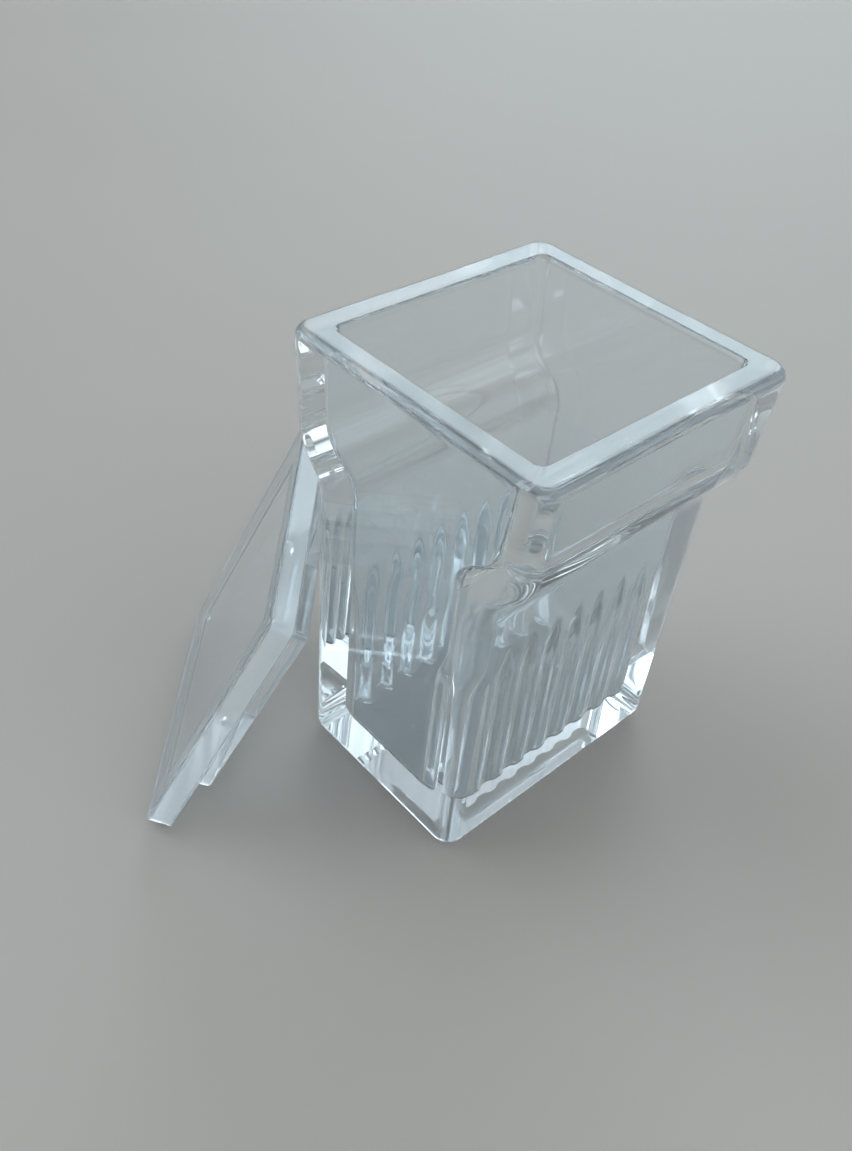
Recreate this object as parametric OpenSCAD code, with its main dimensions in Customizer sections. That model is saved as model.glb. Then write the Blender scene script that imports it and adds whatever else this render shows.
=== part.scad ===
// Slide staining jar of pressed clear glass, with its loose lid leaning on one corner.
// Millimetres, +Z up. The origin is the centre of the jar's foot.
// X runs across the slides, towards the two ribbed walls. Y runs along the row of slides.

/* [Jar] */
// Height of the jar from the foot to the ground rim
jar_h = 88; // [74:1:106]
// Outside width of the collar at the rim, along X
collar_w = 56; // [52:0.5:68]
// Outside length of the collar at the rim, along Y
collar_l = 58; // [56:0.5:76]
// Height of the collar's outer side, from the rim down to the shoulder
collar_h = 16; // [12:0.5:20]
// Outside width of the body below the shoulder, along X
body_w = 41.4; // [38:0.1:49.8]
// Outside length of the body at the foot, along Y
body_l = 57.8; // [50:0.1:72]
// Height of the curved shoulder outside, between the collar and the body
shoulder_h = 14; // [10:0.5:18]
// How much each collar side leans in between the rim and the shoulder
collar_draft = 1; // [0:0.1:2]

/* [Walls] */
// Thickness of the collar's wall on the wide sides, measured on the ground rim
rim_side = 5.2; // [4:0.1:6.5]
// Thickness of the collar's wall on the plain ends, measured on the ground rim
rim_end = 4.8; // [3.5:0.1:6]
// Thickness of the ribbed walls of the body, behind the grooves
side_wall = 7.5; // [4:0.1:8]
// Thickness of the plain end walls of the body at the floor
end_wall = 5.9; // [3.5:0.1:7.5]
// Thickness of the solid floor
floor_t = 9; // [5:0.5:14]
// Height of the curved shoulder inside
inner_shoulder_h = 13; // [9:0.5:17]
// How far the inner shoulder starts above the outer one
inner_shoulder_rise = 2.5; // [1:0.1:5]

/* [Edges] */
// Radius of the upright corners outside
corner_r = 4; // [3:0.1:7]
// Radius of the upright corners inside
mouth_r = 1.7; // [1.2:0.1:3.5]
// Radius of the rim's outer edge
rim_round = 1.7; // [0.5:0.1:2.5]
// Radius of the rim's inner edge, which the ground flat cuts off short
mouth_round = 1.6; // [0.6:0.1:2.5]
// Radius round the foot
foot_round = 3; // [0.5:0.1:3.5]
// Radius between the floor and the inner walls
floor_round = 1.4; // [0.5:0.1:2.2]

/* [Ribs] */
// Distance from one groove to the next, one back-to-back pair of slides in each
rib_pitch = 5.75; // [5:0.05:7]
// Width of one rib
rib_w = 2.9; // [2:0.1:3.4]
// How far a rib stands out of the wall
rib_depth = 2.1; // [1.4:0.1:3]
// Height above the floor at which the ribs have faded into the wall
rib_h = 39.3; // [32:0.1:47]
// Height over which a rib fades into the wall
rib_run = 6.5; // [3:0.5:12]

/* [Lid] */
// How far the lid's plate reaches past the collar on each side
lid_over = 0.25; // [0:0.05:1]
// Thickness of the lid's plate
lid_t = 4.8; // [3:0.1:6]
// Radius of the plate's corners
lid_corner_r = 2.2; // [1.6:0.1:6]
// Radius of the lid's edges
lid_round = 0.5; // [0.3:0.1:1.2]
// Height of the plug that drops into the mouth
plug_t = 4.2; // [2:0.1:6]
// Clearance all round between the plug and the mouth
plug_clear = 0.4; // [0.3:0.05:1.5]
// How much each side of the plug leans in
plug_draft = 0.25; // [0:0.05:0.5]
// Radius of the hollow between the plug and the plate
plug_foot = 0.6; // [0.2:0.1:0.8]
// Lean of the lid away from upright, in degrees
lean = 24; // [15:0.1:35]
// Turn of the lean about the upright, in degrees from +X
lean_turn = 47.2; // [40:0.1:55]
// Gap left between the leaning lid and the corner that it rests on
lean_gap = 0.1; // [0.05:0.01:0.3]

/* [Hidden] */
glass = [0.78, 0.87, 0.92, 0.45];
corner_steps = 6;   // facets in each upright corner
edge_steps = 4;     // facets in each rounded edge
arc_steps = 6;      // facets in each of a shoulder's two arcs
run_steps = 5;      // facets in the fading top of a rib
over = 1;           // how far a cutter runs past the face that it opens
min_r = 0.2;        // least corner radius left inside a rounded edge
mouth_cut = 60;     // degrees of the mouth's rounded edge that the ground flat leaves
sink = 0.2;         // how far a rib's faded top ends inside the wall
rib_bow = 0.9;      // how round a rib's nose is, as a share of a half circle

foot_r = min(foot_round, corner_r - min_r);
rim_r = min(rim_round, corner_r - min_r);
floor_r = min(floor_round, mouth_r - min_r);
collar_z = jar_h - collar_h;
body_z = collar_z - shoulder_h;
in_body_z = body_z + inner_shoulder_rise;
in_collar_z = in_body_z + inner_shoulder_h;
collar_low_hx = collar_w / 2 - collar_draft;
mouth_lip = mouth_round * (1 - cos(mouth_cut));
mouth_hx = collar_w / 2 - rim_side - mouth_lip;
mouth_hy = collar_l / 2 - rim_end - mouth_lip;
slot_hx = body_w / 2 - side_wall;
slot_hy = body_l / 2 - end_wall;
grooves = floor(2 * slot_hy / rib_pitch + 0.1);
lid_hx = collar_w / 2 + lid_over;
lid_hy = collar_l / 2 + lid_over;
plug_hx = mouth_hx - plug_clear;
plug_hy = mouth_hy - plug_clear;
plug_r = max(mouth_r - plug_clear, lid_round + min_r);

function mix(a, b, t) = a + (b - a) * t;

// A level of a skin is [z, half width, half length, corner radius], and the X and Y of its centre if
// that is off the axis.
// The half length of the jar grows evenly from the foot to the rim.
function outer_hy(z) = mix(body_l, collar_l, z / jar_h) / 2;
function inner_hy(z) = mix(slot_hy, mouth_hy, (z - floor_t) / (jar_h - floor_t));

// An S of two equal arcs, upright at both ends: how far across it is at height t of 0 to 1.
function ogee(t, w, h) =
    let (turn = 2 * atan(w / h), r = h / 2 / sin(turn), low = t < 0.5, s = low ? t : 1 - t)
    let (across = r - sqrt(r * r - pow(s * h, 2)))
    low ? across : w - across;

function ogee_levels(z0, h, w0, w1) =
    [for (i = [0 : 2 * arc_steps]) let (t = i / (2 * arc_steps)) [z0 + t * h, w0 + ogee(t, w1 - w0, h)]];

foot_levels = [for (i = [0 : edge_steps]) let (a = 90 * i / edge_steps, cut = foot_r * (1 - sin(a)))
    [foot_r * (1 - cos(a)), body_w / 2 - cut, body_l / 2 - cut, corner_r - cut]];
outer_shoulder = [for (p = ogee_levels(body_z, shoulder_h, body_w / 2, collar_low_hx))
    [p[0], p[1], outer_hy(p[0]), corner_r]];
rim_levels = [for (i = [0 : edge_steps]) let (a = 90 * i / edge_steps, cut = rim_r * (1 - cos(a)))
    [jar_h - rim_r * (1 - sin(a)), collar_w / 2 - cut, collar_l / 2 - cut, corner_r - cut]];

floor_levels = [for (i = [0 : edge_steps]) let (a = 90 * i / edge_steps, cut = floor_r * (1 - sin(a)))
    [floor_t + floor_r * (1 - cos(a)), slot_hx - cut, slot_hy - cut, mouth_r - cut]];
inner_shoulder = [for (p = ogee_levels(in_body_z, inner_shoulder_h, slot_hx, mouth_hx - collar_draft))
    [p[0], p[1], inner_hy(p[0]), mouth_r]];
function mouth_level(a, up) = [jar_h + up - mouth_round * (sin(mouth_cut) - sin(a)),
    mouth_hx + mouth_round * (1 - cos(a)), mouth_hy + mouth_round * (1 - cos(a)), mouth_r];
mouth_levels = concat([for (i = [0 : edge_steps]) mouth_level(mouth_cut * i / edge_steps, 0)],
    [mouth_level(mouth_cut, over)]);

// One ring of points round a rounded rectangle
function ring(l) = let (cx = len(l) > 4 ? l[4] : 0, cy = len(l) > 4 ? l[5] : 0)
    [for (q = [0 : 3], i = [0 : corner_steps])
    let (a = 90 * (q + i / corner_steps), sx = q == 0 || q == 3 ? 1 : -1, sy = q < 2 ? 1 : -1)
    [cx + sx * (l[1] - l[3]) + l[3] * cos(a), cy + sy * (l[2] - l[3]) + l[3] * sin(a), l[0]]];

// A closed skin over a stack of levels, lowest first
module skin(levels) {
    n = 4 * (corner_steps + 1);
    top = n * (len(levels) - 1);
    polyhedron(
        points = [for (l = levels) each ring(l)],
        faces = [
            [for (i = [0 : n - 1]) i],
            [for (i = [n - 1 : -1 : 0]) top + i],
            for (k = [0 : len(levels) - 2], i = [0 : n - 1])
                let (a = k * n + i, b = k * n + (i + 1) % n)
                each [[a, a + n, b], [b, a + n, b + n]]
        ]);
}

// One rib on the +X wall, from low to high along Y. At share t of its run it stands out less, by an S curve,
// and is narrower, by up to half its width.
function rib_level(z, t, low, high) =
    let (out = mix(rib_depth, -sink, t * t * (3 - 2 * t)), hx = (out + over) / 2)
    let (hy = (high - low) / 2 - rib_w / 4 * t * t)
    [z, hx, hy, min(hx, hy) * rib_bow, slot_hx - out + hx, (low + high) / 2];

module rib(low, high) {
    run_z = floor_t + rib_h - rib_run;
    skin([
        rib_level(floor_t - over, 0, low, high),
        for (i = [0 : run_steps]) let (t = i / run_steps) rib_level(run_z + rib_run * t, t, low, high)]);
}

// The grooves share the length at one pitch, and a rib stands on each side of every groove. The two
// outermost ribs fill what is left up to the end walls.
module ribs() {
    first = -grooves / 2 * rib_pitch;
    half_w = rib_w / 2;
    for (side = [0, 180]) rotate([0, 0, side]) {
        rib(-slot_hy - over, first + half_w);
        for (k = [1 : grooves - 1]) let (y = first + k * rib_pitch) rib(y - half_w, y + half_w);
        rib(-first - half_w, slot_hy + over);
    }
}

module jar() {
    color(glass) {
        difference() {
            skin(concat(foot_levels, outer_shoulder, rim_levels));
            skin(concat(floor_levels, inner_shoulder, mouth_levels));
        }
        ribs();
    }
}

// Steps round one of the lid's edges: [how far short of the face it meets, how far past the face it leaves]
lid_edge = [for (i = [0 : edge_steps]) let (a = 90 * i / edge_steps)
    [lid_round * (1 - sin(a)), lid_round * (1 - cos(a))]];

// The lid lying with its plate down and its plug up, centred on the origin
module flat_lid() {
    skin(concat(
        [for (e = lid_edge) [e[1], lid_hx - e[0], lid_hy - e[0], lid_corner_r - e[0]]],
        [for (e = lid_edge) [lid_t - e[0], lid_hx - e[1], lid_hy - e[1], lid_corner_r - e[1]]],
        [for (i = [0 : edge_steps]) let (a = 90 * i / edge_steps, out = plug_foot * (1 - sin(a)))
            [lid_t + plug_foot * (1 - cos(a)), plug_hx + out, plug_hy + out, plug_r + out]],
        [for (e = lid_edge) let (cut = plug_draft + e[1])
            [lid_t + plug_t - e[0], plug_hx - cut, plug_hy - cut, plug_r - e[1]]]));
}

// How far the jar reaches towards the leaning lid at height z
function outer_hx(z) = z < body_z ? body_w / 2
    : z < collar_z ? body_w / 2 + ogee((z - body_z) / shoulder_h, collar_low_hx - body_w / 2, shoulder_h)
    : collar_w / 2;
function reach(z) = corner_r
    + (outer_hx(z) - corner_r) * cos(lean_turn) + (outer_hy(z) - corner_r) * sin(lean_turn);

// Points on the lid's side that faces the jar, up its middle: [way up the plate, way out of it].
// They run up the plate and round its top edge, then up the plug and round its top edge.
plug_low = lid_hy - plug_hy;
plug_high = lid_hy + plug_hy - plug_draft;
function face_side(low, high, out) = concat(
    [for (t = [0 : 0.02 : 1]) [mix(low, high - lid_round, t), out]],
    [for (a = [0 : 10 : 90]) [high - lid_round * (1 - sin(a)), out - lid_round * (1 - cos(a))]]);
facing = concat(face_side(0, 2 * lid_hy, 0), face_side(plug_low, plug_high, plug_t));

// The lid's foot stands as far out as those points need to clear the jar, each at its own height.
// It is centred on the corner that it rests on, and its round bottom edge is let down to the table.
lid_drop = lid_round * (sin(lean) + cos(lean) - 1);
foot_out = lean_gap + max([for (f = facing)
    reach(f[0] * cos(lean) - f[1] * sin(lean) - lid_drop) + f[0] * sin(lean) + f[1] * cos(lean)]);
lid_along = (body_w / 2 - corner_r) * sin(lean_turn) - (outer_hy(plug_high) - corner_r) * cos(lean_turn);

module lid() {
    color(glass)
    rotate([0, 0, lean_turn])
        translate([-foot_out, lid_along, -lid_drop])
        rotate([0, lean, 0])
        translate([-lid_t, 0, lid_hy])
        rotate([0, 90, 0]) rotate([0, 0, 90])
        flat_lid();
}

jar();
lid();
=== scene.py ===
# %% [markdown]
# # A pressed glass staining jar and its lid
# The jar holds microscope slides upright in dye. It is one thick piece of pressed glass: a narrow body
# with ribs inside two walls, a curved shoulder, and a wide collar with a ground rim. The lid is a second
# piece, a plate with a plug, and it stands beside the jar, leaning on one corner. Clear glass shows
# everything through everything, so each piece here is one closed skin with clean normals: a doubled or
# crossing face would bend light where the real glass does not.

import math

import bpy
from mathutils import Matrix, Quaternion, Vector


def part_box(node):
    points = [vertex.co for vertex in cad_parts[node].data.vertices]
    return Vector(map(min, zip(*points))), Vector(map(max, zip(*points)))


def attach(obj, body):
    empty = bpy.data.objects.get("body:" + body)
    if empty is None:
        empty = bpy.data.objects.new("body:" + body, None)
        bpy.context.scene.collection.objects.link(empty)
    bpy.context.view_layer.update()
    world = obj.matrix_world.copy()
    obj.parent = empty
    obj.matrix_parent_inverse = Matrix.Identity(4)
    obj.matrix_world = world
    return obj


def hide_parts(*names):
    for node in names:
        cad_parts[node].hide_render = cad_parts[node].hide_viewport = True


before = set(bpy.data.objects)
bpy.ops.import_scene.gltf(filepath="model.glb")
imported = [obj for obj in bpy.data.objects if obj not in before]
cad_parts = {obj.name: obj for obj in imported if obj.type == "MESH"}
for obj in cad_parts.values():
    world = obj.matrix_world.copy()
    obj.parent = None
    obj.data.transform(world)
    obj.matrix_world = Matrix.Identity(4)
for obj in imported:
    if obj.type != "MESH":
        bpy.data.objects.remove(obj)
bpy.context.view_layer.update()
jar_low, jar_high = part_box("jar")
lid_low, lid_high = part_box("lid")
MM = 0.001
print("jar", [round(v / MM, 2) for v in jar_high - jar_low], "mm")
print("lid", [round(v / MM, 2) for v in lid_high - lid_low], "mm")

# %% [markdown]
# The camera comes first, because it decides what has to be right. It looks down into the mouth from the
# front right. It stands only about a hand's length away, which gives strong perspective, and it is rolled
# a little.

# %% Camera
camera_place = Vector((94.14, -116.92, 170.58)) * MM
camera_aim = Vector((-4.50, -15.96, 45.0)) * MM
camera_roll = math.radians(5.956)
camera_lens = 33.453

camera = bpy.data.objects.new("camera", bpy.data.cameras.new("camera"))
bpy.context.scene.collection.objects.link(camera)
camera.data.sensor_width = 36.0
camera.data.lens = camera_lens
camera.data.clip_start = 0.005
camera.data.clip_end = 20.0
camera.rotation_mode = "QUATERNION"
camera.location = camera_place
turn = (camera_aim - camera_place).to_track_quat("-Z", "Y")
camera.rotation_quaternion = turn @ Quaternion((0, 0, 1), camera_roll)
bpy.context.scene.camera = camera
bpy.context.scene.view_settings.view_transform = "Standard"
print("camera", round((camera_aim - camera_place).length / MM), "mm from its aim")

# %% [markdown]
# ## Sizes
# The overall sizes are read from the frame. The rest are the jar's own wall and edge sizes in
# millimetres, where hx and hy are half widths along X and Y, and z is a height above the foot. After them
# come the functions that the profile needs. The rounded shoulder is an S of two equal arcs, and the jar
# grows evenly longer from the foot to the rim, inside and outside.

# %% Sizes of the jar
jar_height = (jar_high.z - jar_low.z) / MM
collar_hx = jar_high.x / MM
collar_hy = jar_high.y / MM
body_hx, body_hy = 20.7, 28.9
corner_r, mouth_r = 4.0, 1.7

# outside, the collar stands on the shoulder, and the shoulder on the body
collar_height, shoulder_height = 16.0, 14.0
collar_z = jar_height - collar_height
body_z = collar_z - shoulder_height
collar_draft = 1.0
collar_low_hx = collar_hx - collar_draft

# inside, the shoulder starts a little higher and is a little shorter
inner_shoulder_rise, inner_shoulder_height = 2.5, 13.0
inner_body_z = body_z + inner_shoulder_rise
inner_collar_z = inner_body_z + inner_shoulder_height
floor_z = 9.0
slot_hx, slot_hy = 13.2, 23.0

# radii of the rounded edges
rim_round, mouth_round, foot_round, floor_round = 1.7, 1.6, 3.0, 1.4

# the ground rim cuts the mouth's rounded edge off short, which leaves a lip wider than the mouth
mouth_cut = math.radians(60)
mouth_lip = mouth_round * (1 - math.cos(mouth_cut))
rim_side, rim_end = 5.2, 4.8  # width of the rim along the sides and at the ends
mouth_hx, mouth_hy = collar_hx - rim_side - mouth_lip, collar_hy - rim_end - mouth_lip

# how far the middle of each outer wall is bowed in
wall_bow = 0.22


def mix(a, b, t):
    return a + (b - a) * t


def outer_hy(z):
    return mix(body_hy, collar_hy, z / jar_height)


def inner_hy(z):
    return mix(slot_hy, mouth_hy, (z - floor_z) / (jar_height - floor_z))


def ogee(t, across, high):
    """How far across an S of two equal arcs has gone at share t of its height."""
    angle = 2 * math.atan2(across, high)
    radius = high / 2 / math.sin(angle)
    s = min(t, 1 - t) * high
    part = radius - math.sqrt(radius * radius - s * s)
    return part if t < 0.5 else across - part


print("body walls", round(body_hx - slot_hx, 2), "mm, collar walls", round(collar_hx - mouth_hx, 2), "mm")

# %% [markdown]
# ## One skin from rings
# Both pieces could be cut from blocks with Boolean and Bevel modifiers, but those leave long thin faces,
# and glass shows the uneven shading on them as crooked light. Both pieces are really a stack of rounded
# rectangles. So one helper makes a ring of points round one level, and another joins rings into a closed
# mesh. A flat face gets an extra ring just inside its edge: smooth shading then bends only over the
# rounded edge, and the flat stays flat.

# %% A level, and the ring of points round it
class Level:
    """A rounded rectangle at one height, and how far it is bowed, ribbed, hazed and ground."""

    def __init__(self, z, hx, hy, radius, bow=0.0, ribbed=0.0, hazed=0.0, ground=0.0):
        self.z, self.hx, self.hy, self.radius, self.bow = z, hx, hy, radius, bow
        self.ribbed, self.hazed, self.ground = ribbed, hazed, ground


def ring(level, divisions):
    """Points round one level, in millimetres, anticlockwise from above."""
    side_n, end_n, corner_n = divisions
    hx, hy, radius, bow, z = level.hx, level.hy, level.radius, level.bow, level.z
    points = []
    for quarter in range(4):
        sx = 1 if quarter in (0, 3) else -1
        sy = 1 if quarter < 2 else -1
        cx, cy = sx * (hx - radius), sy * (hy - radius)
        for k in range(corner_n):
            a = math.radians(90 * (quarter + k / corner_n))
            points.append((cx + radius * math.cos(a), cy + radius * math.sin(a), z))
        along_x = quarter % 2 == 0
        count = end_n if along_x else side_n
        length = 2 * (hx - radius) if along_x else 2 * (hy - radius)
        for k in range(count):
            # even steps, but where the ends have a count of their own, closer ones towards the corners
            t = k / count if count == side_n else (1 - math.cos(math.pi * k / count)) / 2
            sag = bow * math.sin(math.pi * t) ** 2
            if along_x:
                points.append((cx - sx * length * t, sy * (hy - sag), z))
            else:
                points.append((sx * (hx - sag), cy - sy * length * t, z))
    return points


print("a small ring has", len(ring(Level(0, 10, 10, 2), (6, 6, 4))), "points")

# %% A closed skin over a stack of levels
MARKS = ("ribbed", "hazed", "ground")


def skin(name, levels, divisions, place=Matrix()):
    """A closed mesh over a stack of levels, set in place, that keeps each level's marks as attributes."""
    rings = [ring(level, divisions) for level in levels]
    count = len(rings[0])
    verts = [(place @ Vector(p)) * MM for r in rings for p in r]
    faces = [tuple(range(count - 1, -1, -1))]
    for k in range(len(rings) - 1):
        for i in range(count):
            j = (i + 1) % count
            a, b = k * count, (k + 1) * count
            faces.append((a + i, a + j, b + j, b + i))
    last = (len(rings) - 1) * count
    faces.append(tuple(range(last, last + count)))
    mesh = bpy.data.meshes.new(name)
    mesh.from_pydata(verts, [], faces)
    mesh.polygons.foreach_set("use_smooth", [True] * len(mesh.polygons))
    for mark in MARKS:
        values = [getattr(level, mark) for level in levels for _ in range(count)]
        mesh.attributes.new(mark, "FLOAT", "POINT").data.foreach_set("value", values)
    mesh.update()
    piece = bpy.data.objects.new(name, mesh)
    bpy.context.scene.collection.objects.link(piece)
    return piece


print("a skin keeps the marks", ", ".join(MARKS))

# %% A rounded edge
def arc(steps):
    """Pairs (1 - cos, 1 - sin) round a quarter turn, for a rounded edge of radius 1."""
    angles = [math.pi / 2 * k / steps for k in range(steps + 1)]
    return [(1 - math.cos(a), 1 - math.sin(a)) for a in angles]


print("an edge of 2 steps:", [(round(a, 3), round(b, 3)) for a, b in arc(2)])

# %% [markdown]
# ## The jar's profile
# The skin starts under the foot, climbs the outside, crosses the ground rim and goes down the inside to
# the floor. Each level says its height, half sizes and corner radius, how much its sides are bowed in,
# how far it takes part in the ribs, and whether it is hazed or ground. The outside comes first.

# %% Outside of the jar
HOLD, EDGE_HOLD = 0.25, 0.1  # from a rounded edge to the extra ring that keeps the face beyond it flat
CAP_INSET = 8.0  # from the foot's rounded edge to the last ring under the foot
EDGE_STEPS, SHOULDER_STEPS = 14, 32
BODY_HEIGHTS = (6, 12, 20, 28, 36, 44, 52)  # of the levels up the body
COLLAR_SHARES = (0.03, 0.3, 0.6, 0.97)  # of the way along a collar wall


def jar_outside():
    levels = []
    for inset in (foot_round + CAP_INSET, foot_round + HOLD):
        levels.append(Level(0, body_hx - inset, body_hy - inset, corner_r - foot_round))
    for up, cut in arc(EDGE_STEPS):
        cut *= foot_round
        levels.append(Level(up * foot_round, body_hx - cut, body_hy - cut, corner_r - cut))
    for z in (foot_round + HOLD, *BODY_HEIGHTS, body_z - HOLD):
        bow = wall_bow * math.sin(math.pi * z / jar_height)
        levels.append(Level(z, body_hx, outer_hy(z), corner_r, bow))
    for k in range(SHOULDER_STEPS + 1):
        z = mix(body_z, collar_z, k / SHOULDER_STEPS)
        hx = body_hx + ogee(k / SHOULDER_STEPS, collar_low_hx - body_hx, shoulder_height)
        levels.append(Level(z, hx, outer_hy(z), corner_r, wall_bow))
    for t in COLLAR_SHARES:
        z = mix(collar_z, jar_height - rim_round, t)
        levels.append(Level(z, mix(collar_low_hx, collar_hx, t), outer_hy(z), corner_r, wall_bow))
    for cut, drop in arc(EDGE_STEPS):
        cut, drop = cut * rim_round, drop * rim_round
        radius = corner_r - cut
        levels.append(Level(jar_height - drop, collar_hx - cut, collar_hy - cut, radius, wall_bow))
    return levels


print("outside of", len(jar_outside()), "levels")

# %% [markdown]
# The inside starts with the flat that is ground on the rim, then turns down over the mouth's edge, which
# the grinding cut off short. Below the shoulder every level is hazed and takes part in the ribs. The
# levels are close together where the ribs fade into the wall, because a rib's round top needs points to
# be made of. On the floor the ribs fade out towards the middle.

# %% Inside of the jar
rib_height, rib_run = 39.3, 12.0  # of the ribs above the floor, and of the part of them that fades
RIB_STEP = 0.5  # between levels where the ribs fade
PLAIN_DROP, PLAIN_RISE = 4.0, 3.0  # of the wall's two plain levels, below the shoulder and above the ribs
WALL_SHARES = (0.1, 0.3, 0.5, 0.7, 0.9, 1)  # of the way down from the fade to the wall's foot
FLOOR_RINGS = ((0.4, 1), (1.6, 1), (4.0, 0.8), (7.0, 0))  # how far in, and the share of the ribs left there


def jar_inside():
    rim_out = rim_round + HOLD
    flat_hx, flat_hy = mouth_hx + mouth_lip, mouth_hy + mouth_lip
    levels = [
        Level(jar_height, collar_hx - rim_out, collar_hy - rim_out, corner_r - rim_out, wall_bow, ground=1),
        Level(jar_height, flat_hx + EDGE_HOLD, flat_hy + EDGE_HOLD, mouth_r, ground=1),
    ]
    for k in range(EDGE_STEPS + 1):
        a = mouth_cut * (1 - k / EDGE_STEPS)
        drop = mouth_round * (math.sin(mouth_cut) - math.sin(a))
        out = mouth_round * (1 - math.cos(a))
        levels.append(Level(jar_height - drop, mouth_hx + out, mouth_hy + out, mouth_r))
    for t in COLLAR_SHARES:
        z = mix(jar_height - mouth_round * math.sin(mouth_cut), inner_collar_z, t)
        levels.append(Level(z, mouth_hx - collar_draft * t, inner_hy(z), mouth_r))
    for k in range(SHOULDER_STEPS + 1):
        z = mix(inner_collar_z, inner_body_z, k / SHOULDER_STEPS)
        hx = slot_hx + ogee(1 - k / SHOULDER_STEPS, mouth_hx - collar_draft - slot_hx, inner_shoulder_height)
        levels.append(Level(z, hx, inner_hy(z), mouth_r))
    rib_top = floor_z + rib_height
    heights = [inner_body_z - HOLD, inner_body_z - PLAIN_DROP, rib_top + PLAIN_RISE]
    # from one step above the fade to two below it
    heights += [rib_top + RIB_STEP * (1 - k) for k in range(round(rib_run / RIB_STEP) + 4)]
    ribs_full = rib_top - rib_run - 3 * RIB_STEP
    wall_foot = floor_z + floor_round + HOLD
    heights += [mix(ribs_full, wall_foot, t) for t in WALL_SHARES]
    for z in heights:
        levels.append(Level(z, slot_hx, inner_hy(z), mouth_r, ribbed=1, hazed=1))
    for cut, drop in arc(EDGE_STEPS):
        cut, up = cut * floor_round, drop * floor_round
        levels.append(Level(floor_z + up, slot_hx - cut, slot_hy - cut, mouth_r - cut, ribbed=1, hazed=1))
    for inset, share in FLOOR_RINGS:
        hx, hy = slot_hx - floor_round - inset, slot_hy - floor_round - inset
        levels.append(Level(floor_z, hx, hy, mouth_r - floor_round, ribbed=share, hazed=1))
    return levels


print("inside of", len(jar_inside()), "levels")

# %% [markdown]
# ## The ribs
# Nine ribs stand out of each wide inner wall, the outer two half sunk in the end walls, and the eight
# grooves between them hold the slides. They could be laid on the wall as separate bars, but a bar would
# add faces inside the glass that the pressed jar does not have. They repeat at one pitch, so Geometry
# Nodes press them out of the finished skin. A point moves inwards by how near it is to the closest rib's
# centre line, and towards its top a rib narrows and fades into the wall.

# %% A small helper for node trees
class Tree:
    """Adds nodes to a node tree and joins them: a plain value is set on the socket, a socket is linked."""

    def __init__(self, tree):
        self.tree = tree

    def add(self, kind, sockets=None, **settings):
        node = self.tree.nodes.new(kind)
        for key, value in settings.items():
            setattr(node, key, value)
        for key, value in (sockets or {}).items():
            self.feed(node.inputs[key], value)
        return node

    def feed(self, socket, value):
        if isinstance(value, bpy.types.NodeSocket):
            self.tree.links.new(value, socket)
        else:
            socket.default_value = value

    def math(self, operation, *values, clamp=False):
        node = self.tree.nodes.new("ShaderNodeMath")
        node.operation, node.use_clamp = operation, clamp
        for k, value in enumerate(values):
            self.feed(node.inputs[k], value)
        return node.outputs[0]


print("the helper can", ", ".join(name for name in vars(Tree) if not name.startswith("_")))

# %% Geometry Nodes: press the ribs out of the inner walls
FADE_START = 0.1  # how far into its fading part a rib keeps its full depth
MARKED = 0.99  # a mark counts above this, and a face's average gets there only if all its points have it


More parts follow.
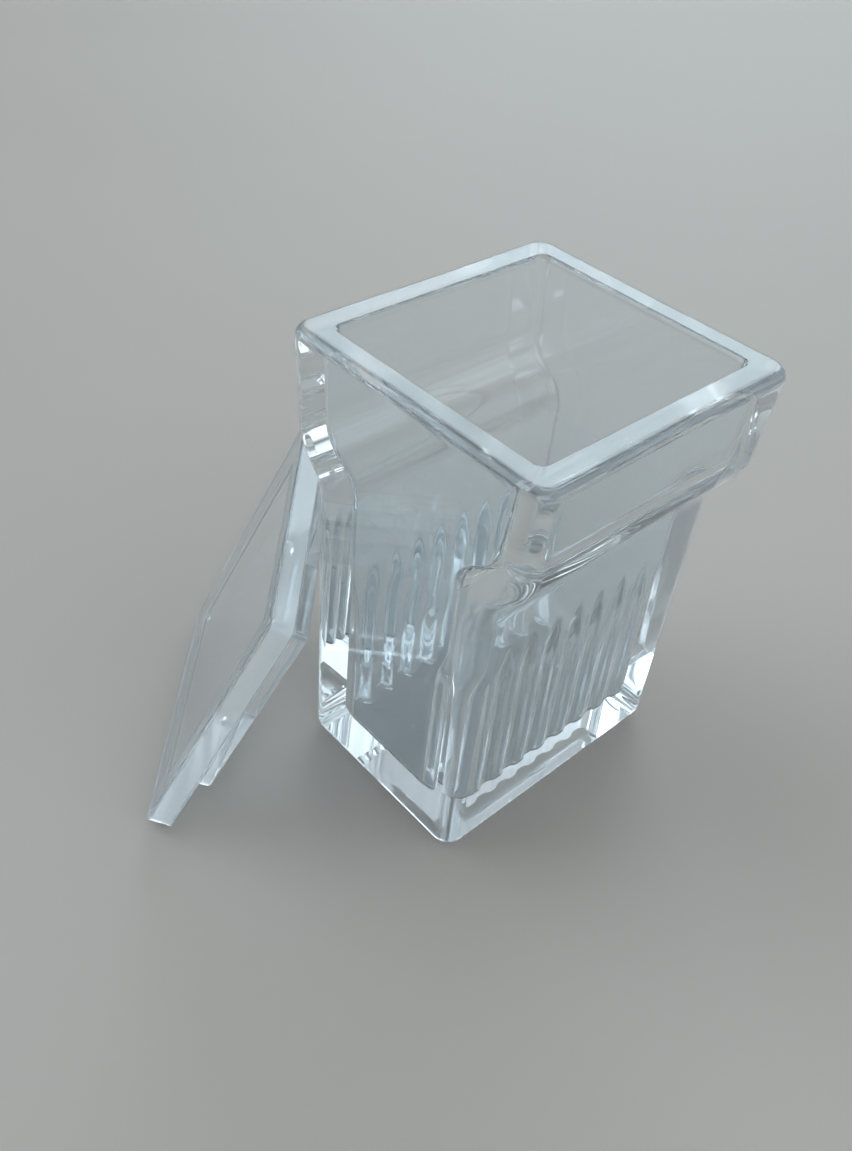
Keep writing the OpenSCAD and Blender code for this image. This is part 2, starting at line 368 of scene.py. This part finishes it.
def rib_press():
    group = bpy.data.node_groups.new("rib_press", "GeometryNodeTree")
    face = group.interface
    face.new_socket("Geometry", in_out="OUTPUT", socket_type="NodeSocketGeometry")
    face.new_socket("Geometry", in_out="INPUT", socket_type="NodeSocketGeometry")
    for name in ("Pitch", "Count", "Width", "Depth", "Flank", "Top", "Run", "Half Width"):
        face.new_socket(name, in_out="INPUT", socket_type="NodeSocketFloat")
    for name in ("Clear", "Hazed", "Ground"):
        face.new_socket(name, in_out="INPUT", socket_type="NodeSocketMaterial")
    t = Tree(group)
    inp = t.add("NodeGroupInput").outputs
    place = t.add("ShaderNodeSeparateXYZ", {0: t.add("GeometryNodeInputPosition").outputs[0]}).outputs
    last = t.math("SUBTRACT", inp["Count"], 1.0)
    half = t.math("DIVIDE", last, 2.0)
    index = t.math("ROUND", t.math("ADD", t.math("DIVIDE", place["Y"], inp["Pitch"]), half))
    index = t.math("MINIMUM", t.math("MAXIMUM", index, 0.0), last)
    centre = t.math("MULTIPLY", t.math("SUBTRACT", index, half), inp["Pitch"])
    aside = t.math("SUBTRACT", place["Y"], centre)
    middle = t.math("DIVIDE", inp["Width"], 2.0)
    reach = t.math("ADD", middle, inp["Flank"])
    above = t.math("SUBTRACT", place["Z"], t.math("SUBTRACT", inp["Top"], inp["Run"]))
    gone = t.math("DIVIDE", t.math("MAXIMUM", above, 0.0), inp["Run"])
    fade = t.add("ShaderNodeMapRange", {"Value": gone, "From Min": 1.0, "From Max": FADE_START})
    up = t.math("MULTIPLY", gone, reach)
    away = t.math("SQRT", t.math("ADD", t.math("MULTIPLY", aside, aside), t.math("MULTIPLY", up, up)))
    top = t.math("SUBTRACT", middle, inp["Flank"])
    raised = t.add("ShaderNodeMapRange", {"Value": away, "From Min": reach, "From Max": top},
                   interpolation_type="SMOOTHERSTEP")
    share = t.add("GeometryNodeInputNamedAttribute", {"Name": "ribbed"}).outputs["Attribute"]
    depth = t.math("MULTIPLY", inp["Depth"], fade.outputs["Result"])
    out = t.math("MULTIPLY", t.math("MULTIPLY", raised.outputs["Result"], share), depth)
    # a point moves in by its share of the way to the wall, so the plain end walls only slide along themselves
    shift = t.math("MULTIPLY", out, t.math("DIVIDE", place["X"], t.math("MULTIPLY", inp["Half Width"], -1.0)))
    offset = t.add("ShaderNodeCombineXYZ", {"X": shift}).outputs[0]
    moved = t.add("GeometryNodeSetPosition", {"Geometry": inp["Geometry"], "Offset": offset})
    real = t.add("GeometryNodeRealizeInstances", {"Geometry": moved.outputs[0]})
    done = t.add("GeometryNodeSetMaterial", {"Geometry": real.outputs[0], "Material": inp["Clear"]})
    for finish, mark in (("Hazed", "hazed"), ("Ground", "ground")):
        there = t.add("GeometryNodeInputNamedAttribute", {"Name": mark}).outputs["Attribute"]
        there = t.add("FunctionNodeCompare", {"A": there, "B": MARKED}, operation="GREATER_THAN")
        done = t.add("GeometryNodeSetMaterial", {"Geometry": done.outputs[0], "Material": inp[finish],
                                                 "Selection": there.outputs[0]})
    t.add("NodeGroupOutput", {"Geometry": done.outputs[0]})
    return group


rib_tree = rib_press()
print("rib tree of", len(rib_tree.nodes), "nodes")

# %% [markdown]
# ## The glass
# Both pieces are the same pressed soda-lime glass. It has next to no colour, so its look is made of what
# it bends and reflects. A Glass shader could do the clear parts, but the Principled shader with its
# transmission turned up can also hold a share of plain haze, which is how dull glass looks. Pressed
# glass is never as flat as window glass: it carries a slow ripple from the mould, fine lines and a few
# specks. One node group makes these marks for every finish.

# %% Node group: the marks of pressing and use
SPECK_EDGE, SPECK_CORE = 0.07, 0.03  # distances from a speck's middle, where it starts and where it is full
SPECK_ROUGHNESS = 0.25
LINE_TURN, LINE_STRETCH = (0.5, 0.9, 0.6), (1.0, 1.0, 0.06)  # the way the lines run, and their drawing out


def pressed_marks():
    group = bpy.data.node_groups.new("pressed_marks", "ShaderNodeTree")
    face = group.interface
    for name in ("Ripple Scale", "Line Scale", "Line Share", "Speck Scale", "Roughness"):
        face.new_socket(name, in_out="INPUT", socket_type="NodeSocketFloat")
    for name in ("Roughness", "Height"):
        face.new_socket(name, in_out="OUTPUT", socket_type="NodeSocketFloat")
    t = Tree(group)
    inp = t.add("NodeGroupInput").outputs
    place = t.add("ShaderNodeTexCoord").outputs["Object"]
    slow = t.add("ShaderNodeTexNoise", {"Vector": place, "Scale": inp["Ripple Scale"], "Detail": 1.0})
    drawn = t.add("ShaderNodeMapping", {"Vector": place, "Rotation": LINE_TURN, "Scale": LINE_STRETCH})
    lines = t.add("ShaderNodeTexNoise", {"Vector": drawn.outputs[0], "Scale": inp["Line Scale"],
                                         "Detail": 2.0})
    cells = t.add("ShaderNodeTexVoronoi", {"Vector": place, "Scale": inp["Speck Scale"]})
    speck = t.add("ShaderNodeMapRange", {"Value": cells.outputs["Distance"], "From Min": SPECK_EDGE,
                                         "From Max": SPECK_CORE, "To Max": SPECK_ROUGHNESS})
    rough = t.math("ADD", inp["Roughness"], speck.outputs[0], clamp=True)
    height = t.math("ADD", slow.outputs["Fac"], t.math("MULTIPLY", lines.outputs["Fac"], inp["Line Share"]))
    t.add("NodeGroupOutput", {"Roughness": rough, "Height": height})
    return group


marks = pressed_marks()
print("marks of", len(marks.nodes), "nodes")

# %% [markdown]
# The finishes are one function with different values. Clear is the share of glass in the surface, and the
# rest is plain pale haze. Roughness blurs what is seen through it, and ripple is the height of its waves
# in metres. The jar is clear outside and in its mouth. Its ribbed cavity is not polished, and stains dull
# it, so it is hazed and a little more wavy. The rim and the lid's seat are ground. The lid's faces are a
# little worn, and the sides of its plate are satin, which draws it as a pale outline.

# %% The glass, in five finishes
GLASS_TINT, GLASS_IOR = (0.93, 0.975, 1.0, 1.0), 1.52
RIPPLE_SCALE, LINE_SCALE, LINE_SHARE, SPECK_SCALE = 45.0, 900.0, 0.02, 160.0


def pressed_glass(name, clear, roughness, ripple=0.00001):
    """A finish of the one glass."""
    material = bpy.data.materials.new(name)
    material.use_nodes = True
    t = Tree(material.node_tree)
    shader = material.node_tree.nodes["Principled BSDF"]
    worn = t.add("ShaderNodeGroup", node_tree=marks)
    settings = {"Ripple Scale": RIPPLE_SCALE, "Line Scale": LINE_SCALE, "Line Share": LINE_SHARE,
                "Speck Scale": SPECK_SCALE, "Roughness": roughness}
    for key, value in settings.items():
        worn.inputs[key].default_value = value
    bump = t.add("ShaderNodeBump", {"Height": worn.outputs["Height"], "Strength": 1.0, "Distance": ripple})
    t.feed(shader.inputs["Normal"], bump.outputs[0])
    t.feed(shader.inputs["Roughness"], worn.outputs["Roughness"])
    shader.inputs["Base Color"].default_value = GLASS_TINT
    shader.inputs["IOR"].default_value = GLASS_IOR
    shader.inputs["Transmission Weight"].default_value = clear
    return material


clear_glass = pressed_glass("clear_glass", 1.0, 0.015)
hazed_glass = pressed_glass("hazed_glass", 0.78, 0.035, ripple=0.00005)
ground_glass = pressed_glass("ground_glass", 0.84, 0.26)
worn_glass = pressed_glass("worn_glass", 0.92, 0.03)
satin_glass = pressed_glass("satin_glass", 0.66, 0.08)
finishes = (clear_glass, hazed_glass, ground_glass, worn_glass, satin_glass)
print("finishes:", ", ".join(finish.name for finish in finishes))

# %% [markdown]
# ## The jar
# A modifier runs again each time its piece is evaluated, and a finished piece should be a plain mesh. So
# the rib tree is run once, its result is kept as the mesh, and the modifier is taken away. The tree's
# inputs are set by the identifier of each socket, because that is what a modifier knows them by.

# %% Run a tree once and keep its mesh
def baked(piece, group, values):
    """Runs a Geometry Nodes tree on a piece with the given inputs, and keeps the result as its mesh."""
    modifier = piece.modifiers.new("build", "NODES")
    modifier.node_group = group
    for item in group.interface.items_tree:
        if item.in_out == "INPUT" and item.name in values:
            modifier[item.identifier] = values[item.name]
    piece.update_tag()
    bpy.context.view_layer.update()
    depsgraph = bpy.context.evaluated_depsgraph_get()
    result = bpy.data.meshes.new_from_object(piece.evaluated_get(depsgraph))
    piece.modifiers.remove(modifier)
    old, piece.data = piece.data, result
    result.name = piece.name
    bpy.data.meshes.remove(old)


print("the rib tree takes", ", ".join(i.name for i in rib_tree.interface.items_tree if i.in_out == "INPUT"))

# %% [markdown]
# Now the jar can be made. Its long sides get many divisions, because the ribs are pressed out of them,
# and its ends need fewer.

# %% Make the jar
JAR_DIVISIONS = (132, 40, 14)  # of a long side, an end and a corner
rib_pitch, rib_count = 5.75, 9
rib_width, rib_flank, rib_depth = 2.9, 0.95, 2.1

jar = skin("glass_jar", jar_outside() + jar_inside(), JAR_DIVISIONS)
ribs = {"Pitch": rib_pitch * MM, "Count": float(rib_count), "Width": rib_width * MM, "Depth": rib_depth * MM,
        "Flank": rib_flank * MM, "Top": (floor_z + rib_height) * MM, "Run": rib_run * MM,
        "Half Width": slot_hx * MM, "Clear": clear_glass, "Hazed": hazed_glass, "Ground": ground_glass}
baked(jar, rib_tree, ribs)
print("jar skin of", len(jar.data.polygons), "faces")

# %% [markdown]
# ## The lid
# The lid is a plate a hair larger than the rim, with a plug that drops into the mouth. It could be two
# blocks joined by a Boolean, but the same rings make it as one skin, with a small fillet where the plug
# meets the plate. It is made lying flat, from the plate's outer face up to the plug's face.

# %% Levels of the lid
lid_t, lid_over, lid_corner_r, lid_round = 4.8, 0.25, 2.2, 0.5
plug_t, plug_clear, plug_draft = 4.2, 0.4, 0.25
plug_foot = 0.6  # radius of the fillet at the plug's foot
PLATE_CAP, PLUG_CAP = 10.0, 9.0  # how far in the last rings of the two faces lie
SIDE_HOLD = 0.15  # in place of HOLD on the lid's thin sides
FILLET_STEPS = 5
plug_r = mouth_r - plug_clear
lid_hx, lid_hy = collar_hx + lid_over, collar_hy + lid_over
plug_hx, plug_hy = mouth_hx - plug_clear, mouth_hy - plug_clear


def lid_levels():
    levels = []
    for inset in (lid_round + PLATE_CAP, lid_round + HOLD):
        levels.append(Level(0, lid_hx - inset, lid_hy - inset, lid_corner_r - lid_round))
    for up, cut in arc(EDGE_STEPS):
        cut *= lid_round
        levels.append(Level(up * lid_round, lid_hx - cut, lid_hy - cut, lid_corner_r - cut))
    for z in (lid_round + SIDE_HOLD, lid_t - lid_round - SIDE_HOLD):
        levels.append(Level(z, lid_hx, lid_hy, lid_corner_r, hazed=1))
    for cut, drop in arc(EDGE_STEPS):
        cut, drop = cut * lid_round, drop * lid_round
        levels.append(Level(lid_t - drop, lid_hx - cut, lid_hy - cut, lid_corner_r - cut))
    ledge = lid_round + HOLD
    levels.append(Level(lid_t, lid_hx - ledge, lid_hy - ledge, lid_corner_r - ledge, ground=1))
    foot = plug_foot + HOLD
    levels.append(Level(lid_t, plug_hx + foot, plug_hy + foot, plug_r + foot, ground=1))
    for drop, out in arc(FILLET_STEPS):
        out, up = plug_foot * out, plug_foot * drop
        levels.append(Level(lid_t + up, plug_hx + out, plug_hy + out, plug_r + out))
    for z in (plug_foot + SIDE_HOLD, plug_t - lid_round - SIDE_HOLD):
        lean_in = plug_draft * z / plug_t
        levels.append(Level(lid_t + z, plug_hx - lean_in, plug_hy - lean_in, plug_r))
    for cut, drop in arc(EDGE_STEPS):
        cut, drop = cut * lid_round + plug_draft, drop * lid_round
        levels.append(Level(lid_t + plug_t - drop, plug_hx - cut, plug_hy - cut, plug_r - cut + plug_draft))
    for inset in (HOLD, PLUG_CAP):
        inset += lid_round + plug_draft
        levels.append(Level(lid_t + plug_t, plug_hx - inset, plug_hy - inset, plug_r - lid_round))
    return levels


print("lid", lid_t + plug_t, "mm thick, of", len(lid_levels()), "levels")

# %% [markdown]
# The lid stands beside the jar on its lower edge and leans on one upright corner. Its object could be
# turned and moved, but a finished piece's object stays at the origin, so that goes into the mesh: the
# mesh is turned, then moved until the low corner of its box is the one in the frame. The faces whose
# points all carry a mark get that mark's finish.

# %% Stand the lid against the jar
LID_DIVISIONS = (40, 40, 12)
lean, lean_turn = math.radians(24), math.radians(47.2)
stand = (Matrix.Rotation(lean_turn, 4, "Z") @ Matrix.Rotation(lean, 4, "Y")
         @ Matrix.Rotation(math.pi / 2, 4, "Y") @ Matrix.Rotation(math.pi / 2, 4, "Z"))
lid = skin("glass_lid", lid_levels(), LID_DIVISIONS, stand)
corners = [v.co for v in lid.data.vertices]
lowest = Vector([min(c[k] for c in corners) for k in range(3)])
lid.data.transform(Matrix.Translation(lid_low - lowest))
for finish in (worn_glass, satin_glass, ground_glass):
    lid.data.materials.append(finish)
for index, mark in ((1, "hazed"), (2, "ground")):
    marked = lid.data.attributes[mark].data
    for face in lid.data.polygons:
        if all(marked[k].value > MARKED for k in face.vertices):
            face.material_index = index
highest = Vector([max(v.co[k] for v in lid.data.vertices) for k in range(3)])
print("lid off its box by", [round((a - b) / MM, 3) for a, b in zip(highest, lid_high)], "mm")

# %% [markdown]
# ## The floor
# Clear glass shows what it stands on more than anything else, so the floor is plain and pale, with a
# faint mottle. It is darker than the panels of light, so that the bright edges of the glass stand out
# from it. It lies a hair below the foot, because two faces in one place would flicker.

# %% Floor
FLOOR_GAP, FLOOR_HALF = 0.00005, 3.0
FLOOR_DARK, FLOOR_LIGHT = (0.365, 0.325, 0.295, 1.0), (0.385, 0.345, 0.31, 1.0)
FLOOR_MOTTLE, FLOOR_ROUGHNESS = 8.0, 0.6


def pale_floor():
    material = bpy.data.materials.new("pale_floor")
    material.use_nodes = True
    t = Tree(material.node_tree)
    shader = material.node_tree.nodes["Principled BSDF"]
    place = t.add("ShaderNodeTexCoord").outputs["Object"]
    noise = t.add("ShaderNodeTexNoise", {"Vector": place, "Scale": FLOOR_MOTTLE})
    tone = t.add("ShaderNodeMix", {0: noise.outputs["Fac"]}, data_type="RGBA")
    t.feed(tone.inputs[6], FLOOR_DARK)
    t.feed(tone.inputs[7], FLOOR_LIGHT)
    t.feed(shader.inputs["Base Color"], tone.outputs[2])
    shader.inputs["Roughness"].default_value = FLOOR_ROUGHNESS
    mesh = bpy.data.meshes.new("floor")
    corners = [(x * FLOOR_HALF, y * FLOOR_HALF, -FLOOR_GAP) for x, y in ((-1, -1), (1, -1), (1, 1), (-1, 1))]
    mesh.from_pydata(corners, [], [(0, 1, 2, 3)])
    mesh.materials.append(material)
    floor = bpy.data.objects.new("floor", mesh)
    bpy.context.scene.collection.objects.link(floor)
    return floor


floor = pale_floor()
print("floor", 2 * FLOOR_HALF, "m across")

# %% [markdown]
# ## The light
# Clear glass has no shading of its own: it is drawn by the bright and dark things that it bends into
# view. Small lamps would stand in it as hard white squares, so the light comes from the world, like a
# tent with soft panels. One panel stands on each side, one in front and one behind, and a dim one is
# overhead. They fade towards their edges and towards the horizon, which stays plain. Between them the
# tent is dimmer, which gives every edge a line.

# %% Soft panels of light
# Each panel: azimuth from +X and elevation of its middle, the angles from there to where it starts to fade
# and to where it ends, all in degrees, and its brightness.
PANELS = {
    "right": (28, 28, 18, 46, 1.05),
    "front": (325, 28, 10, 30, 2.4),
    "left": (215, 42, 12, 32, 3.0),
    "back": (126, 24, 12, 28, 3.0),
    "top": (130, 66, 10, 36, 0.35),
}
PANEL_TINT, ROOM_TINT = (0.77, 0.92, 1.0), (0.94, 0.97, 1.0)
HORIZON, OVERHEAD = 0.3, 0.35  # brightness of the tent
HORIZON_TOP, OVERHEAD_FROM = 0.1, 0.9  # sines of the elevations between which one turns into the other
PANELS_FROM, PANELS_FULL = 0.08, 0.26  # and those between which the panels come up from nothing


def toward(azimuth, elevation):
    a, e = math.radians(azimuth), math.radians(elevation)
    return Vector((math.cos(a) * math.cos(e), math.sin(a) * math.cos(e), math.sin(e)))


def soft_room():
    world = bpy.data.worlds.new("room")
    world.use_nodes = True
    t = Tree(world.node_tree)
    back = world.node_tree.nodes["Background"]
    way = t.add("ShaderNodeTexCoord").outputs["Generated"]
    height = t.add("ShaderNodeSeparateXYZ", {0: way}).outputs["Z"]
    ramp = t.add("ShaderNodeMapRange", {"Value": height, "From Min": HORIZON_TOP, "From Max": OVERHEAD_FROM})
    level = t.add("ShaderNodeMix", {0: ramp.outputs[0], 2: HORIZON, 3: OVERHEAD}, data_type="FLOAT")
    room = t.add("ShaderNodeVectorMath", {0: ROOM_TINT, "Scale": level.outputs[0]}, operation="SCALE")
    glow = 0.0
    for azimuth, elevation, full, edge, strength in PANELS.values():
        middle = toward(azimuth, elevation)
        facing = t.add("ShaderNodeVectorMath", {0: way, 1: middle}, operation="DOT_PRODUCT")
        low, high = math.cos(math.radians(edge)), math.cos(math.radians(full))
        fading = {"Value": facing.outputs["Value"], "From Min": low, "From Max": high, "To Max": strength}
        panel = t.add("ShaderNodeMapRange", fading, interpolation_type="SMOOTHSTEP")
        glow = t.math("ADD", glow, panel.outputs[0])
    above = t.add("ShaderNodeMapRange", {"Value": height, "From Min": PANELS_FROM, "From Max": PANELS_FULL},
                  interpolation_type="SMOOTHSTEP")
    glow = t.math("MULTIPLY", glow, above.outputs[0])
    panels = t.add("ShaderNodeVectorMath", {0: PANEL_TINT, "Scale": glow}, operation="SCALE")
    light = t.add("ShaderNodeVectorMath", {0: room.outputs[0], 1: panels.outputs[0]}, operation="ADD")
    t.feed(back.inputs["Color"], light.outputs[0])
    bpy.context.scene.world = world


soft_room()
print(len(PANELS), "panels:", ", ".join(PANELS))

# %% [markdown]
# Too much light makes every colour in a scene paler than it is, so the light is measured. What falls on
# the floor is the tent's brightness summed over the half sphere above, each part by its height. Near 1, a
# colour renders about as it is written.

# %% Measure the light on the floor
def smooth_step(value, low, high):
    share = min(max((value - low) / (high - low), 0), 1)
    return share * share * (3 - 2 * share)


def floor_light(steps=60):
    """Light on the floor, where 1 is the plain level."""
    total = 0.0
    for i in range(steps):
        z = (i + 0.5) / steps
        for k in range(2 * steps):
            a = 2 * math.pi * (k + 0.5) / (2 * steps)
            way = Vector((math.cos(a) * math.sqrt(1 - z * z), math.sin(a) * math.sqrt(1 - z * z), z))
            share = (z - HORIZON_TOP) / (OVERHEAD_FROM - HORIZON_TOP)
            light = mix(HORIZON, OVERHEAD, min(max(share, 0), 1))
            for azimuth, elevation, full, edge, strength in PANELS.values():
                low, high = math.cos(math.radians(edge)), math.cos(math.radians(full))
                panel = smooth_step(way.dot(toward(azimuth, elevation)), low, high)
                light += strength * panel * smooth_step(z, PANELS_FROM, PANELS_FULL)
            total += light * z
    return total / (steps * steps)


print("light on the floor", round(floor_light(), 2), "of plain level")

# %% [markdown]
# ## Paths of light
# Light is turned back many times inside a thick rim or a rib before it leaves, and a path that is cut
# short shows as a black streak there, so clear glass is allowed many turns. Haze and the floor need few.
# The tent is large and soft, so paths find it by chance. Rays could also be aimed at it, but the glass
# would stop most of them, and they cost about as much time as all the rest.

# %% Turns in thick glass
GLASS_TURNS, DULL_TURNS = 32, 3

cycles = bpy.context.scene.cycles
cycles.max_bounces = GLASS_TURNS
cycles.glossy_bounces = GLASS_TURNS
cycles.transmission_bounces = GLASS_TURNS
cycles.diffuse_bounces = DULL_TURNS
bpy.context.scene.world.cycles.sampling_method = "NONE"
print("turns:", cycles.transmission_bounces, "in glass,", cycles.diffuse_bounces, "on dull surfaces")

# %% [markdown]
# ## Hand over
# Each piece stands for its packed solid, in place of the CAD part that is hidden, and rides on the one body.

# %% Ride and replace
for piece, node, slot in ((jar, "jar", "jar_glass"), (lid, "lid", "lid_glass")):
    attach(piece, "root")
    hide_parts(node)
